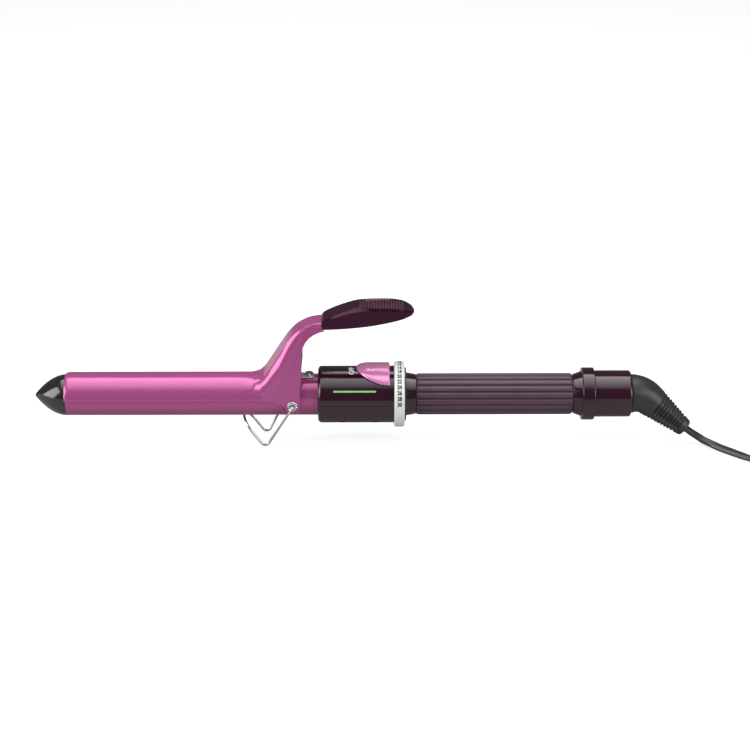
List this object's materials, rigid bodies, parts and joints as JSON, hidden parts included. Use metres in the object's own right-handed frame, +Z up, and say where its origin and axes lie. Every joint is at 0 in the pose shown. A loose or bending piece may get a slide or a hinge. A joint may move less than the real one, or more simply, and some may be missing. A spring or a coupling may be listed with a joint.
{
  "type": "curling iron",
  "caption": "Spring-clamp hair curling iron with a pink barrel, slide switch, heat dial, folding wire rest and a swivel lead folded into a hank.",
  "frame": {"origin": "middle of the iron's box at the level of the surface it stands on, the lead left out", "axes": "+X along the iron from the cool tip to the lead, +Z up"},
  "size_m": [0.5986, 0.0805, 0.0912],
  "materials": {
    "barrel_coat": "satin pink plating",
    "clamp_coat": "satin pink plating",
    "tip_plastic": "gloss",
    "ceramic_white": "matte",
    "mica": "satin",
    "spreader_metal": "satin",
    "bright_steel": "polished",
    "spring_steel": "satin",
    "bushing_resin": "matte",
    "shell_plum": "gloss",
    "pad_plum": "gloss",
    "board_green": "satin",
    "part_dark": "matte",
    "part_yellow": "gloss",
    "contact_brass": "polished",
    "dial_white": "satin",
    "button_pink": "satin",
    "grip_rubber": "matte",
    "boot_rubber": "satin",
    "lead_vinyl": "satin",
    "wire_insulation": "matte",
    "tie_fabric": "woven"
  },
  "bodies": {
    "handle": {"barrel": "barrel_coat", "cool_tip": "tip_plastic", "heater_plate": "ceramic_white", "mica_sheets": "mica", "spreader_upper": "spreader_metal", "spreader_lower": "spreader_metal", "thermal_fuse": "ceramic_white", "heat_sensor": "part_dark", "pivot_eyelets": "bright_steel", "leaf_spring": "spring_steel", "spring_screw": "bright_steel", "barrel_bushing": "bushing_resin", "upper_shell": "shell_plum", "lower_shell": "shell_plum", "case_screws": "spring_steel", "control_board": "board_green", "triac": "part_dark", "film_capacitor": "part_yellow", "slide_switch": "part_dark", "track_board": "mica", "dial_retainer": "shell_plum", "grip_sleeve": "grip_rubber", "end_cap": "shell_plum", "swivel_socket": "part_dark", "swivel_contacts": "contact_brass", "heater_wires": "wire_insulation", "supply_wires": "lead_vinyl", "lead_tube": "lead_vinyl", "lead_hank": "lead_vinyl", "lead_tail": "lead_vinyl", "hank_tie": "tie_fabric", "plug_body": "lead_vinyl", "plug_blades": "contact_brass"},
    "clamp": {"clamp": "clamp_coat", "thumb_pad": "pad_plum", "pad_screw": "spring_steel"},
    "rest": {"wire_rest": "bright_steel"},
    "dial": {"heat_dial": "dial_white", "dial_wiper": "contact_brass"},
    "switch": {"switch_button": "button_pink"},
    "swivel": {"strain_relief": "boot_rubber", "swivel_rotor": "part_dark", "swivel_ring": "contact_brass", "swivel_pin": "contact_brass"}
  },
  "joints": [
    {"name": "clamp_hinge", "type": "hinge", "parent": "handle", "child": "clamp", "pos_m": [-0.04338, 0, 0.029], "axis": [0, 1, 0], "range_deg": [0, 22], "stiffness_Nm_per_rad": 1, "springref_deg": -22.92, "deforming": ["leaf_spring"]},
    {"name": "rest_fold", "type": "hinge", "parent": "handle", "child": "rest", "pos_m": [-0.04338, 0, 0.029], "axis": [0, 1, 0], "range_deg": [-70, 0]},
    {"name": "dial_turn", "type": "hinge", "parent": "handle", "child": "dial", "pos_m": [0.0217, 0, 0.0305], "axis": [1, 0, 0], "range_deg": [-11, 154]},
    {"name": "switch_slide", "type": "slide", "parent": "handle", "child": "switch", "axis": [-1, 0, 0], "range_m": [0, 0.0055]},
    {"name": "lead_swivel", "type": "hinge", "parent": "handle", "child": "swivel", "pos_m": [0.163, 0, 0.0305], "axis": [1, 0, 0], "continuous": true}
  ]
}
